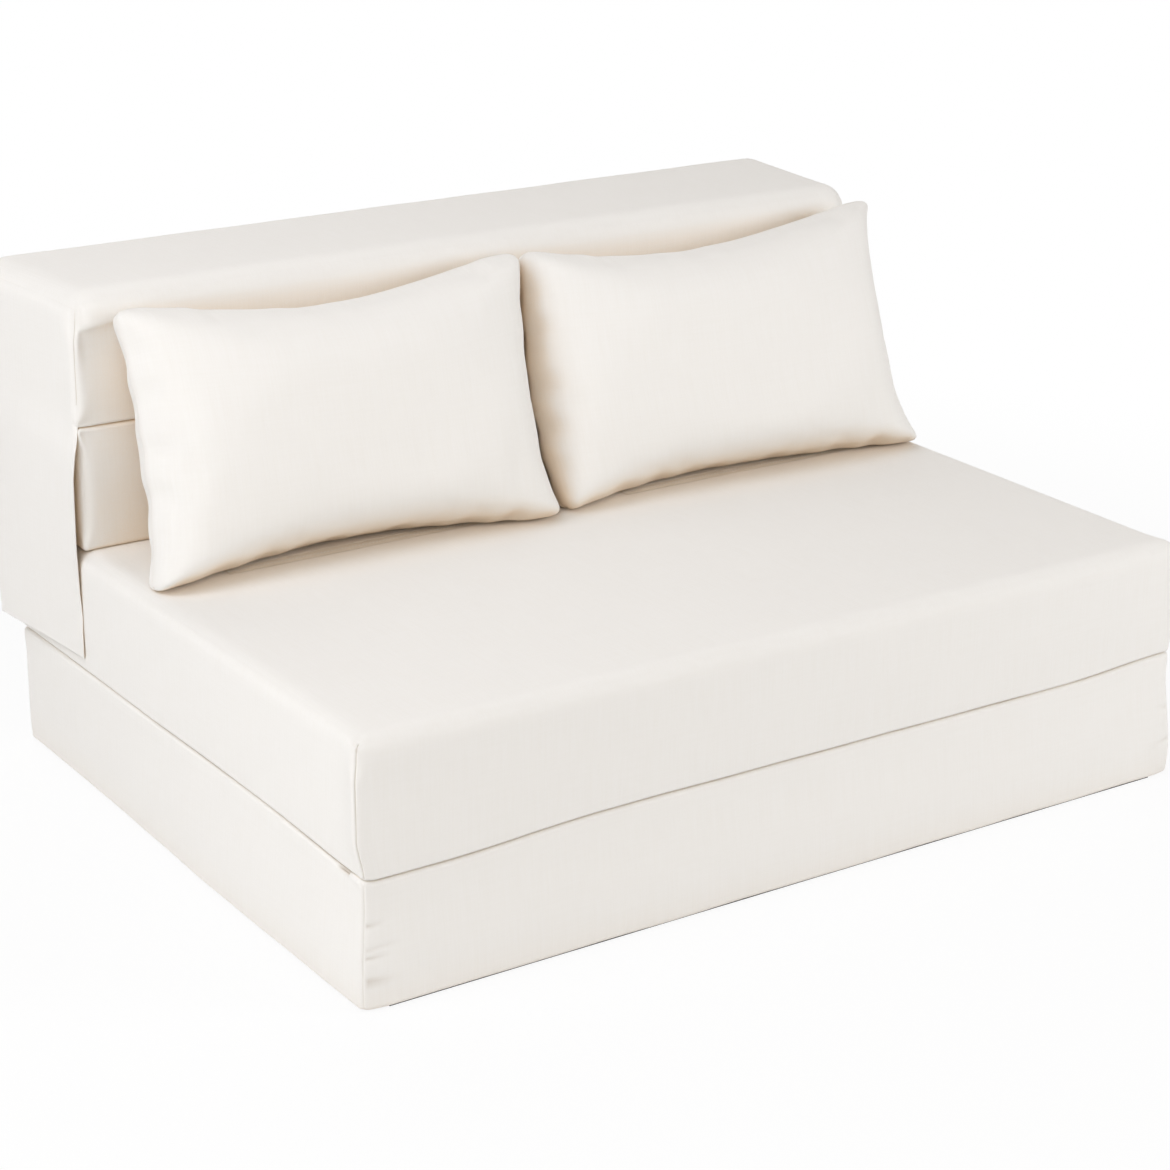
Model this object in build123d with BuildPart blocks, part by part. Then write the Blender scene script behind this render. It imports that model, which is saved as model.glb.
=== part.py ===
"""Folding sofa bed: two foam slabs, a head section, a cloth hood with the upper back, and two pillows.

The sofa stands on the floor with its front towards -Y and its length along X. The origin is the centre
of its footprint, on the floor, and +Z is up. Sizes are in millimetres.
"""

import os
from math import asin, cos, degrees, radians, sin, sqrt

from build123d import *

# Driving sizes of the foam blocks
slab_width = 1200.0  # base and seat, side to side
slab_depth = 900.0  # base and seat, front to back
slab_thickness = 160.0
head_width = 1190.0
head_depth = 200.0  # head section, front to back
head_thickness = 160.0
upper_thickness = 168.0  # upper back block in the hood

# Cloth, gaps and edges
cover_wall = 1.6  # sewn cover with its quilted backing
foam_gap = 0.3  # between a cover and the foam in it
layer_gap = 0.3  # between a block and what lies on it
hinge_cloth = 1.0  # thickness of the hinge strips
fold_gap = 6.0  # behind the blocks, for the head section when it hangs open
side_radius = 12.0  # upright edges of the blocks
soft_radius = 20.0  # top edges that show
seam_radius = 6.0  # edges where two blocks meet
floor_radius = 10.0  # bottom edges of the base

# Underside and hinge strips
underside_margin = 14.0
front_strip_width = 38.0
front_strip_setback = 8.0
rear_strip_height = 46.0
strip_end_margin = 30.0

# Hood
flap_gap = 3.0  # between the seat's side and the side flap
flap_thickness = 4.0
flap_drop = 303.9  # from the underside of the upper back down to the flap's hem
flap_corner = 12.0
rear_panel_depth = 36.0
rear_panel_radius = 10.0
board_thickness = 4.0
pad_thickness = 28.0

# Zips
slab_zip_length = 1000.0
hood_zip_length = 1100.0
zip_tape_width = 22.0
chain_width = 5.0
chain_rise = 0.8  # how far the chain stands out of its cover
zip_height_share = 0.3  # height of a zip on the rear face of its block
slider_length = 11.0
slider_width = 8.4
slider_height = 3.4  # over the cover
slider_gap = 0.25
slider_end_margin = 4.0
slider_radius = 0.8

# Pillows
pillow_length = 584.0
pillow_height = 338.0
pillow_thickness = 188.0  # at the crown
pillow_end_draw = 22.0  # how far the short sides are drawn in
pillow_long_draw = 18.0  # how far the long sides are drawn in
pillow_seam_radius = 6.0
pillow_cover_wall = 1.2
ticking_wall = 0.8
pillow_gap = 0.4  # between cover, ticking and filling
pillow_zip_length = 400.0
pillow_edge_power = 0.55  # lower is rounder at the seam
corner_swell_share = 1.6
corner_limit_share = 0.75
pillow_level_shares = (0, 0.15, 0.4, 0.65, 0.85, 0.95)  # of the swell, from the seam to the crown

left_pillow_x = -279.5
right_pillow_x = 308.0
left_pillow_yaw = 0.8
right_pillow_yaw = -1.0
left_pillow_lean = 19.5
right_pillow_lean = 20.5
pillow_rest = 0.5  # between a pillow and the seat and the back that it leans on

# Places worked out from the sizes
overall_depth = slab_depth + fold_gap + rear_panel_depth
front_y = -overall_depth / 2
rear_y = front_y + slab_depth
head_front_y = rear_y - head_depth
panel_front_y = rear_y + fold_gap
seat_bottom = slab_thickness + hinge_cloth + layer_gap
seat_top = seat_bottom + slab_thickness
head_bottom = seat_top + layer_gap
head_top = head_bottom + head_thickness
hood_bottom = head_top + layer_gap
hood_top = hood_bottom + upper_thickness
flap_inner_x = slab_width / 2 + flap_gap
hood_half_width = flap_inner_x + flap_thickness
hem_z = hood_bottom - flap_drop
foam_inset = cover_wall + foam_gap


def cushion(width, depth, height, front, bottom, top_radius, bottom_radius, inset=0.0):
    """A block with rounded edges, drawn inside its outer form by the inset on every side."""
    with BuildPart() as block:
        with BuildSketch(Plane.XY.offset(bottom + inset)) as plan:
            with Locations((0, front + depth / 2)):
                Rectangle(width - 2 * inset, depth - 2 * inset)
            fillet(plan.vertices(), side_radius - inset)
        extrude(amount=height - 2 * inset)
        fillet(block.faces().sort_by(Axis.Z)[0].edges(), bottom_radius - inset)
        fillet(block.faces().sort_by(Axis.Z)[-1].edges(), top_radius - inset)
    return block.part


def zip_tape(place, length):
    """A straight zip let into a cover: tape as thick as the cover, chain standing out along its middle."""
    with BuildPart() as tape:
        with BuildSketch(place.offset(-cover_wall)):
            Rectangle(length, zip_tape_width)
        extrude(amount=cover_wall)
        with BuildSketch(place):
            Rectangle(length, chain_width)
        extrude(amount=chain_rise)
    return tape.part


def zip_slot(place, length):
    """The slot through a cover that a straight zip fills."""
    with BuildPart() as slot:
        with BuildSketch(place.offset(-cover_wall)):
            Rectangle(length, zip_tape_width)
        extrude(amount=cover_wall)
    return slot.part


def zip_slider(place):
    """A saddle that rides on the chain, without a pull tab."""
    with BuildPart() as saddle:
        with BuildSketch(place.offset(slider_gap)) as outline:
            Rectangle(slider_length, slider_width)
            fillet(outline.vertices(), 2 * slider_radius)
        extrude(amount=slider_height - slider_gap)
        fillet(saddle.faces().sort_by(Axis(place.origin, place.z_dir))[-1].edges(), slider_radius)
        with BuildSketch(place):
            Rectangle(slider_length, chain_width + 2 * slider_gap)
        extrude(amount=chain_rise + slider_gap, mode=Mode.SUBTRACT)
    return saddle.part


def slider_place(place, length):
    """Where the slider of a closed zip stands: at the chain's end towards the plane's own x."""
    reach = length / 2 - slider_end_margin - slider_length / 2
    return Plane(origin=place.from_local_coords((reach, 0, 0)), x_dir=place.x_dir, z_dir=place.z_dir)


def rear_zip_place(bottom, height):
    """Plane of a zip on the rear face of a block, looking backwards."""
    return Plane(origin=(0, rear_y, bottom + zip_height_share * height), x_dir=(-1, 0, 0), z_dir=(0, 1, 0))


# Base slab
base_form = (slab_width, slab_depth, slab_thickness, front_y, 0, seam_radius, floor_radius)
base_zip_place = rear_zip_place(0, slab_thickness)

with BuildPart() as base_underside:
    with BuildSketch(Plane.XY) as underside_panel:
        with Locations((0, front_y + slab_depth / 2)):
            Rectangle(slab_width - 2 * underside_margin, slab_depth - 2 * underside_margin)
        fillet(underside_panel.vertices(), side_radius)
    extrude(amount=cover_wall)

with BuildPart() as base_cover:
    add(cushion(*base_form))
    add(cushion(*base_form, cover_wall), mode=Mode.SUBTRACT)
    add(zip_slot(base_zip_place, slab_zip_length), mode=Mode.SUBTRACT)
    add(base_underside.part, mode=Mode.SUBTRACT)

with BuildPart() as base_foam:
    add(cushion(*base_form, foam_inset))

with BuildPart() as base_zip_tape:
    add(zip_tape(base_zip_place, slab_zip_length))

with BuildPart() as base_zip_slider:
    add(zip_slider(slider_place(base_zip_place, slab_zip_length)))

with BuildPart() as front_hinge_strip:
    with BuildSketch(Plane.XY.offset(slab_thickness)):
        with Locations((0, front_y + front_strip_setback + front_strip_width / 2)):
            Rectangle(slab_width - 2 * strip_end_margin, front_strip_width)
    extrude(amount=hinge_cloth)

# Seat slab
seat_form = (slab_width, slab_depth, slab_thickness, front_y, seat_bottom, soft_radius, seam_radius)
seat_zip_place = rear_zip_place(seat_bottom, slab_thickness)

with BuildPart() as seat_cover:
    add(cushion(*seat_form))
    add(cushion(*seat_form, cover_wall), mode=Mode.SUBTRACT)
    add(zip_slot(seat_zip_place, slab_zip_length), mode=Mode.SUBTRACT)

with BuildPart() as seat_foam:
    add(cushion(*seat_form, foam_inset))

with BuildPart() as seat_zip_tape:
    add(zip_tape(seat_zip_place, slab_zip_length))

with BuildPart() as seat_zip_slider:
    add(zip_slider(slider_place(seat_zip_place, slab_zip_length)))

with BuildPart() as rear_hinge_strip:
    with BuildSketch(Plane.XZ.offset(-rear_y - hinge_cloth)):
        with Locations((0, seat_top - rear_strip_height / 2)):
            Rectangle(slab_width - 2 * strip_end_margin, rear_strip_height)
    extrude(amount=hinge_cloth)

# Head section
head_form = (head_width, head_depth, head_thickness, head_front_y, head_bottom, seam_radius, seam_radius)
head_zip_place = rear_zip_place(head_bottom, head_thickness)

with BuildPart() as head_cover:
    add(cushion(*head_form))
    add(cushion(*head_form, cover_wall), mode=Mode.SUBTRACT)
    add(zip_slot(head_zip_place, slab_zip_length), mode=Mode.SUBTRACT)

with BuildPart() as head_foam:
    add(cushion(*head_form, foam_inset))

with BuildPart() as head_zip_tape:
    add(zip_tape(head_zip_place, slab_zip_length))

with BuildPart() as head_zip_slider:
    add(zip_slider(slider_place(head_zip_place, slab_zip_length)))


# Hood
def upper_block(inset=0.0):
    """The upper back block: its rear face is flat against the rear panel."""
    with BuildPart() as block:
        with BuildSketch(Plane.XY.offset(hood_bottom + inset)):
            with Locations((0, (head_front_y + panel_front_y) / 2)):
                Rectangle(2 * (hood_half_width - inset), panel_front_y - head_front_y - 2 * inset)
        extrude(amount=upper_thickness - 2 * inset)
        front = block.faces().sort_by(Axis.Y)[0]
        fillet(front.edges().filter_by(Axis.Z), side_radius - inset)
        top = block.faces().sort_by(Axis.Z)[-1]
        rear_edge = top.edges().sort_by(Axis.Y)[-1]
        fillet([edge for edge in top.edges() if edge != rear_edge], soft_radius - inset)
        bottom = block.faces().sort_by(Axis.Z)[0]
        fillet(bottom.edges().sort_by(Axis.Y)[0], seam_radius - inset)
    return block.part


def rear_panel(inset=0.0):
    """The upright panel behind the back, from the hood's top down to the flaps' hem."""
    with BuildPart() as panel:
        with BuildSketch(Plane.XY.offset(hem_z + inset)):
            with Locations((0, panel_front_y + rear_panel_depth / 2)):
                Rectangle(2 * (hood_half_width - inset), rear_panel_depth - 2 * inset)
        extrude(amount=hood_top - hem_z - 2 * inset)
        rear = panel.faces().sort_by(Axis.Y)[-1]
        fillet(rear.edges().filter_by(Axis.Z), rear_panel_radius - inset)
        top = panel.faces().sort_by(Axis.Z)[-1]
        front_edge = top.edges().sort_by(Axis.Y)[0]
        fillet([edge for edge in top.edges() if edge != front_edge], soft_radius - inset)
    return panel.part


def side_flap(side):
    """The thin flap beside the back, from the upper block's underside down to the hem."""
    with BuildPart() as flap:
        with BuildSketch(Plane.YZ.offset(side * (flap_inner_x + flap_thickness / 2))) as outline:
            with Locations(((head_front_y + panel_front_y) / 2, hood_bottom - flap_drop / 2)):
                Rectangle(panel_front_y - head_front_y, flap_drop)
            front_hem_corner = outline.vertices().sort_by(Axis.Y)[:2].sort_by(Axis.Z)[0]
            fillet(front_hem_corner, flap_corner)
        extrude(amount=flap_thickness / 2, both=True)
    return flap.part


hood_zip_place = Plane(
    origin=(0, panel_front_y + rear_panel_depth / 2, hem_z), x_dir=(1, 0, 0), z_dir=(0, 0, -1)
)

with BuildPart() as hood_top_cover:
    add(upper_block())
    add(upper_block(cover_wall), mode=Mode.SUBTRACT)

with BuildPart() as hood_foam:
    add(upper_block(foam_inset))

with BuildPart() as hood_rear_cover:
    add(rear_panel())
    add(rear_panel(cover_wall), mode=Mode.SUBTRACT)
    add(zip_slot(hood_zip_place, hood_zip_length), mode=Mode.SUBTRACT)

with BuildPart() as hood_left_flap:
    add(side_flap(-1))

with BuildPart() as hood_right_flap:
    add(side_flap(1))

panel_middle_z = (hem_z + hood_top) / 2
panel_rear_y = panel_front_y + rear_panel_depth

with BuildPart() as hood_rear_board:
    with BuildSketch(Plane.XZ.offset(-(panel_rear_y - foam_inset))):
        with Locations((0, panel_middle_z)):
            Rectangle(
                2 * (hood_half_width - soft_radius),
                hood_top - hem_z - 2 * soft_radius,
            )
    extrude(amount=board_thickness)

with BuildPart() as hood_rear_pad:
    with BuildSketch(Plane.XZ.offset(-(panel_front_y + foam_inset + pad_thickness))):
        with Locations((0, panel_middle_z)):
            Rectangle(
                2 * (hood_half_width - soft_radius),
                hood_top - hem_z - 2 * soft_radius,
            )
    extrude(amount=pad_thickness)

with BuildPart() as hood_zip_tape:
    add(zip_tape(hood_zip_place, hood_zip_length))

with BuildPart() as hood_zip_slider:
    add(zip_slider(slider_place(hood_zip_place, hood_zip_length)))


# Pillows
def pillow_form(place, inset=0.0):
    """A plump pillow: both faces rise from one seam outline with drawn-in sides to a crown."""
    half_length = pillow_length / 2 - inset
    half_height = pillow_height / 2 - inset
    half_thickness = pillow_thickness / 2 - inset
    middle = Plane(
        origin=place.from_local_coords((0, pillow_height / 2, 0)), x_dir=place.x_dir, z_dir=place.z_dir
    )
    with BuildPart() as form:
        for face in (1, -1):
            for level in pillow_level_shares:
                side_share = sqrt(1 - level ** (1 / pillow_edge_power))
                corner_share = sqrt(1 - level ** (1 / (2 * pillow_edge_power)))
                x = half_length * corner_share
                y = half_height * corner_share
                side_x = (half_length - pillow_end_draw) * side_share
                side_y = (half_height - pillow_long_draw) * side_share
                rise = half_thickness * level / pillow_level_shares[-1]
                corner_radius = min(pillow_seam_radius + corner_swell_share * rise, corner_limit_share * y)
                with BuildSketch(middle.offset(face * rise)) as outline:
                    with BuildLine():
                        ThreePointArc((-x, -y), (0, -side_y), (x, -y))
                        ThreePointArc((x, -y), (side_x, 0), (x, y))
                        ThreePointArc((x, y), (0, side_y), (-x, y))
                        ThreePointArc((-x, y), (-side_x, 0), (-x, -y))
                    make_face()
                    fillet(outline.vertices(), corner_radius)
            loft()
    return form.part


def pillow_place(middle_x, yaw, lean):
    """Plane of a pillow's seam: x along its length, y up the leaning pillow, z out of its front.

    The pillow is tried at the origin first, then moved until it rests on the seat and the back.
    """
    along = (cos(radians(yaw)), sin(radians(yaw)), 0)
    forward = (
        sin(radians(yaw)) * cos(radians(lean)),
        -cos(radians(yaw)) * cos(radians(lean)),
        sin(radians(lean)),
    )
    reach = pillow_form(Plane(origin=(0, 0, 0), x_dir=along, z_dir=forward)).bounding_box()
    lower_seam_y = head_front_y - pillow_rest - reach.max.Y
    lower_seam_z = seat_top + pillow_rest - reach.min.Z
    return Plane(origin=(middle_x, lower_seam_y, lower_seam_z), x_dir=along, z_dir=forward)


# The lower seam of a pillow is an arc, and the zip runs along it
lower_seam_radius = ((pillow_length / 2) ** 2 + pillow_long_draw**2) / (2 * pillow_long_draw)
zip_half_angle = degrees(asin(pillow_zip_length / 2 / lower_seam_radius))


def pillow_zip(place, outward, inward):
    """A band across the lower seam, from the outward to the inward distance of the seam's arc."""
    centre_y = pillow_long_draw - lower_seam_radius
    first = radians(90 - zip_half_angle)
    middle = radians(90)
    last = radians(90 + zip_half_angle)

    def seam_point(radius, angle):
        return (radius * cos(angle), centre_y + radius * sin(angle))

    outer = lower_seam_radius - outward
    inner = lower_seam_radius + inward
    with BuildPart() as band:
        with BuildSketch(place):
            with BuildLine():
                ThreePointArc(seam_point(outer, first), seam_point(outer, middle), seam_point(outer, last))
                Line(seam_point(outer, last), seam_point(inner, last))
                ThreePointArc(seam_point(inner, last), seam_point(inner, middle), seam_point(inner, first))
                Line(seam_point(inner, first), seam_point(outer, first))
            make_face()
        extrude(amount=chain_width / 2, both=True)
    return band.part


def pillow_slider_place(place):
    """Plane of a pillow's slider, at the right end of its zip, looking out of the seam."""
    reach = (pillow_zip_length - slider_length) / 2 - slider_end_margin
    turn = asin(reach / lower_seam_radius)
    drop = lower_seam_radius * (1 - cos(turn))
    origin = place.from_local_coords((reach, pillow_long_draw - drop, 0))
    right = place.from_local_coords((cos(turn), -sin(turn), 0)) - place.origin
    outward = place.from_local_coords((-sin(turn), -cos(turn), 0)) - place.origin
    return Plane(origin=origin, x_dir=right, z_dir=outward)


pillow_pieces = []
for side_name, middle_x, yaw, lean in (
    ("left", left_pillow_x, left_pillow_yaw, left_pillow_lean),
    ("right", right_pillow_x, right_pillow_yaw, right_pillow_lean),
):
    place = pillow_place(middle_x, yaw, lean)
    print(f"{side_name} pillow: lower seam {place.origin.Y - front_y:.1f} mm behind the front")
    ticking_inset = pillow_cover_wall + pillow_gap
    filling_inset = ticking_inset + ticking_wall + pillow_gap

    with BuildPart() as pillow_cover:
        add(pillow_form(place))
        add(pillow_form(place, pillow_cover_wall), mode=Mode.SUBTRACT)
        add(pillow_zip(place, chain_rise, pillow_cover_wall), mode=Mode.SUBTRACT)
    pillow_cover.part.label = f"{side_name}_pillow_cover"

    with BuildPart() as pillow_ticking:
        add(pillow_form(place, ticking_inset))
        add(pillow_form(place, ticking_inset + ticking_wall), mode=Mode.SUBTRACT)
    pillow_ticking.part.label = f"{side_name}_pillow_ticking"

    with BuildPart() as pillow_filling:
        add(pillow_form(place, filling_inset))
    pillow_filling.part.label = f"{side_name}_pillow_filling"

    with BuildPart() as pillow_zip_tape:
        add(pillow_zip(place, chain_rise, pillow_cover_wall))
    pillow_zip_tape.part.label = f"{side_name}_pillow_zip_tape"

    with BuildPart() as pillow_zip_slider:
        add(zip_slider(pillow_slider_place(place)))
    pillow_zip_slider.part.label = f"{side_name}_pillow_zip_slider"

    pillow_pieces += [pillow_cover, pillow_ticking, pillow_filling, pillow_zip_tape, pillow_zip_slider]

base_cover.part.label = "base_cover"
base_underside.part.label = "base_underside"
base_foam.part.label = "base_foam"
base_zip_tape.part.label = "base_zip_tape"
base_zip_slider.part.label = "base_zip_slider"
front_hinge_strip.part.label = "front_hinge_strip"
seat_cover.part.label = "seat_cover"
seat_foam.part.label = "seat_foam"
seat_zip_tape.part.label = "seat_zip_tape"
seat_zip_slider.part.label = "seat_zip_slider"
rear_hinge_strip.part.label = "rear_hinge_strip"
head_cover.part.label = "head_cover"
head_foam.part.label = "head_foam"
head_zip_tape.part.label = "head_zip_tape"
head_zip_slider.part.label = "head_zip_slider"
hood_top_cover.part.label = "hood_top_cover"
hood_foam.part.label = "hood_foam"
hood_left_flap.part.label = "hood_left_flap"
hood_right_flap.part.label = "hood_right_flap"
hood_rear_cover.part.label = "hood_rear_cover"
hood_rear_board.part.label = "hood_rear_board"
hood_rear_pad.part.label = "hood_rear_pad"
hood_zip_tape.part.label = "hood_zip_tape"
hood_zip_slider.part.label = "hood_zip_slider"

pieces = [
    base_cover, base_underside, base_foam, base_zip_tape, base_zip_slider, front_hinge_strip,
    seat_cover, seat_foam, seat_zip_tape, seat_zip_slider, rear_hinge_strip,
    head_cover, head_foam, head_zip_tape, head_zip_slider,
    hood_top_cover, hood_foam, hood_left_flap, hood_right_flap, hood_rear_cover,
    hood_rear_board, hood_rear_pad, hood_zip_tape, hood_zip_slider,
    *pillow_pieces,
]

os.makedirs("parts", exist_ok=True)
for piece in pieces:
    export_step(piece.part, f"parts/{piece.part.label}.step")
print(f"{len(pieces)} pieces, {hood_top:.1f} mm high, {overall_depth:.1f} mm deep")
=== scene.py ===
# %% [markdown]
# # Folding sofa bed
#
# The sofa bed is a stack of foam blocks in sewn cloth covers: a base slab and a seat slab, a head
# block folded up on the seat, a cloth hood with one more block inside that sits over the head
# block, and two loose pillows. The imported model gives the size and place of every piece. This
# script dresses each of them in cloth, foam, board or metal, and lights the whole.

from math import cos, pi, radians, sin

import bpy
import numpy as np
from mathutils import Matrix, Vector


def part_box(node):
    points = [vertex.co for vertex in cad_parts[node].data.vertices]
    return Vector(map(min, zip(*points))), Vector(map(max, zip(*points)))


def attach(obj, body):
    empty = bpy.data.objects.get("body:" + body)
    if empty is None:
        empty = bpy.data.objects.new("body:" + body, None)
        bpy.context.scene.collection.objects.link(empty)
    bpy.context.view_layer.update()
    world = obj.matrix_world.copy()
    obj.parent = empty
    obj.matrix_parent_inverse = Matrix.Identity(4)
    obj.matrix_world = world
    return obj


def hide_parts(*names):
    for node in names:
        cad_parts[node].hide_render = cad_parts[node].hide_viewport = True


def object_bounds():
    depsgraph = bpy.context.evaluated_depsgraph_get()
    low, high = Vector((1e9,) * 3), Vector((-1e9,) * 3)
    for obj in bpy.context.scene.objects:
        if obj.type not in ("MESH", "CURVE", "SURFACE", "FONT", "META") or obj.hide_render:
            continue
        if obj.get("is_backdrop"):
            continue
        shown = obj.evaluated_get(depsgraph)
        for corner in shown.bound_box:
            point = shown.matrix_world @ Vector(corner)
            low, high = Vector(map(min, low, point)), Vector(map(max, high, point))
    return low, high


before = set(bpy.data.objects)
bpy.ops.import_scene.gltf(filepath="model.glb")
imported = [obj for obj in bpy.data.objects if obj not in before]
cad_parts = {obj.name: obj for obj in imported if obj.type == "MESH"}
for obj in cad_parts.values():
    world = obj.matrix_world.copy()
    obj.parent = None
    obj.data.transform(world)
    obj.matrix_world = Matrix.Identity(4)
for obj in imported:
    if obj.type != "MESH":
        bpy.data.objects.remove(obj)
model_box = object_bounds()
print("nodes", len(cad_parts), "box", [round(v, 4) for corner in model_box for v in corner])


def add_object(name, data):
    """Puts a new object with this data into the scene."""
    thing = bpy.data.objects.new(name, data)
    bpy.context.scene.collection.objects.link(thing)
    return thing


def node_box(name):
    """Lowest and highest corner of a node, as arrays in metres."""
    low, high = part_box(name)
    return np.array(low), np.array(high)


# %% [markdown]
# ## Camera
#
# The sofa is seen from the left of its front and a little above. The corners of the blocks were
# read in the photograph and a plain camera was fitted to them, which gives its place, its two
# angles, a slight roll and a long lens. A long lens keeps the edges of the blocks nearly parallel.

# %% Camera
CAMERA_PLACE = Vector((-1.9774, -2.9201, 1.5256))
CAMERA_AZIMUTH = radians(34.155)
CAMERA_DROP = radians(20.132)
CAMERA_ROLL = radians(0.635)
SENSOR_WIDTH = 36
FOCAL_LENGTH = 88.6
SIGHT_LIMIT = 50


def camera_axes(azimuth, drop, roll):
    """The camera's right, up and backward directions."""
    forward = Vector((sin(azimuth) * cos(drop), cos(azimuth) * cos(drop), -sin(drop)))
    right = Vector((cos(azimuth), -sin(azimuth), 0))
    up = right.cross(forward)
    return (
        cos(roll) * right + sin(roll) * up,
        cos(roll) * up - sin(roll) * right,
        -forward,
    )


lens = bpy.data.cameras.new("sofa_camera")
lens.sensor_width = SENSOR_WIDTH
lens.lens = FOCAL_LENGTH
lens.clip_end = SIGHT_LIMIT
camera = add_object("sofa_camera", lens)
camera_turn = Matrix(camera_axes(CAMERA_AZIMUTH, CAMERA_DROP, CAMERA_ROLL)).transposed()
camera.matrix_world = Matrix.Translation(CAMERA_PLACE) @ camera_turn.to_4x4()
bpy.context.scene.camera = camera
print("camera", tuple(round(v, 3) for v in camera.location), "lens", lens.lens)

# %% [markdown]
# ## Cover cloth
#
# The covers are a cream cotton in plain weave, with slightly uneven threads that show as faint
# streaks. Each thread could be a mesh, but there are about a thousand in each metre, so a bump
# pattern does the work. The pattern runs on the cloth's own flat coordinates in metres, so the
# weave turns with each panel, as sewn cloth does. A seam value on the points paints warm shade
# into the colour where the cloth dips into a seam, and an occlusion node paints warm shade into
# its hollows.


# %% Node helpers
def new_finish(name):
    """A new material and its node tree."""
    finish = bpy.data.materials.new(name)
    finish.use_nodes = True
    return finish, finish.node_tree


def own_node(tree, kind):
    """The node of one kind that a new tree already holds."""
    return next(node for node in tree.nodes if node.type == kind)


def feed(tree, socket, value):
    """Gives an input its value, or links it to the socket that feeds it."""
    if isinstance(value, bpy.types.NodeSocket):
        tree.links.new(value, socket)
    else:
        socket.default_value = value


def add_node(tree, kind, settings=None, **inputs):
    """A node of one kind, its settings, and its inputs: values or the sockets that feed them."""
    node = tree.nodes.new("ShaderNode" + kind)
    for key, value in (settings or {}).items():
        setattr(node, key, value)
    for key, value in inputs.items():
        place = int(key[1:]) if key[0] == "i" and key[1:].isdigit() else key.replace("_", " ")
        feed(tree, node.inputs[place], value)
    return node


def math_node(tree, operation, first, second=0.0):
    """One sum, product or other operation on two numbers."""
    settings = {"operation": operation}
    return add_node(tree, "Math", settings, i0=first, i1=second).outputs[0]


def times(tree, first, second):
    """The product of two numbers."""
    return math_node(tree, "MULTIPLY", first, second)


def plus(tree, first, second, share):
    """The first number and a share of the second."""
    return math_node(tree, "ADD", first, times(tree, second, share))


def ranged(tree, value, low, high, first=0.0, last=1.0, way="LINEAR"):
    """A number that goes from first to last while the value goes from low to high."""
    ends = {"From_Min": low, "From_Max": high, "To_Min": first, "To_Max": last}
    settings = {"interpolation_type": way}
    return add_node(tree, "MapRange", settings, Value=value, **ends).outputs[0]


def blend(tree, share, first, second, way="MIX"):
    """Mixes two colours by a share. Each colour is three numbers or a socket."""
    colours = [first, second]
    for place, colour in enumerate(colours):
        if not isinstance(colour, bpy.types.NodeSocket):
            colours[place] = (*colour, 1.0)
    settings = {"data_type": "RGBA", "blend_type": way}
    mix = add_node(tree, "Mix", settings, Factor=share, A=colours[0], B=colours[1])
    return mix.outputs["Result"]


def tint(tree, factor, first, second, low=0.0, high=1.0):
    """A colour between two colours as the factor goes from low to high."""
    return blend(tree, ranged(tree, factor, low, high), first, second)


def surface(finish, colour, roughness, height, strength, depth, **more):
    """Gives a finish its colour, roughness and bump, and more values of its main shader."""
    tree = finish.node_tree
    bump = add_node(tree, "Bump", Height=height, Strength=strength, Distance=depth)
    more.update(Base_Color=colour, Roughness=roughness, Normal=bump.outputs[0])
    for key, value in more.items():
        feed(tree, own_node(tree, "BSDF_PRINCIPLED").inputs[key.replace("_", " ")], value)
    return finish


# %% Patterns of thread and grain
def cloth_place(tree):
    """The flat coordinates of the cloth, in metres."""
    return add_node(tree, "UVMap", {"uv_map": "cloth"}).outputs["UV"]


def object_place(tree):
    """The coordinates of the object itself, in metres."""
    return add_node(tree, "TexCoord").outputs["Object"]


def noise(tree, place, scale, detail=2.0, **more):
    """Soft random patches, scale of them in each metre."""
    inputs = {"Vector": place, "Scale": scale, "Detail": detail, **more}
    return add_node(tree, "TexNoise", **inputs).outputs["Fac"]


def streaks(tree, place, across, along):
    """Noise drawn out along one thread direction; across and along are counts in each metre."""
    spread = add_node(tree, "Mapping", Vector=place, Scale=(across, along, 1.0))
    return noise(tree, spread.outputs[0], 1.0, Roughness=0.6)


def cells(tree, place, pitch):
    """Coordinates that count cells of one pitch."""
    settings = {"operation": "SCALE"}
    return add_node(tree, "VectorMath", settings, i0=place, Scale=1.0 / pitch).outputs[0]


def plain_weave(tree, place, pitch):
    """Height of a plain weave: threads that pass over and under each other in turn."""
    threads = cells(tree, place, pitch)
    parts = add_node(tree, "SeparateXYZ", Vector=threads)
    waves = []
    for axis in range(2):
        turn = times(tree, parts.outputs[axis], pi)
        waves.append(math_node(tree, "ABSOLUTE", math_node(tree, "SINE", turn)))
    over = add_node(tree, "TexChecker", Vector=threads, Scale=1.0).outputs["Fac"]
    warp, weft = (
        times(tree, math_node(tree, "POWER", wave, 0.5), other)
        for wave, other in (waves, waves[::-1])
    )
    blended = add_node(tree, "Mix", {"data_type": "FLOAT"}, Factor=over, A=warp, B=weft)
    return blended.outputs["Result"]


# %% Cover cloth
CREAM = (0.899, 0.880, 0.850)
CREAM_DEEP = (0.879, 0.856, 0.818)
# Painted shade: the colour that seam values pull towards, and the warm tints that darken hollows.
SEAM_PAINTED_SHADE = (0.50, 0.42, 0.33)
HOLLOW_PAINTED_SHADE = (1.0, 0.82, 0.62)
SLAB_PAINTED_SHADE = (1.0, 0.93, 0.85)
THREAD_PITCH = 0.0011
THREAD_DEPTH = 0.00045


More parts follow.
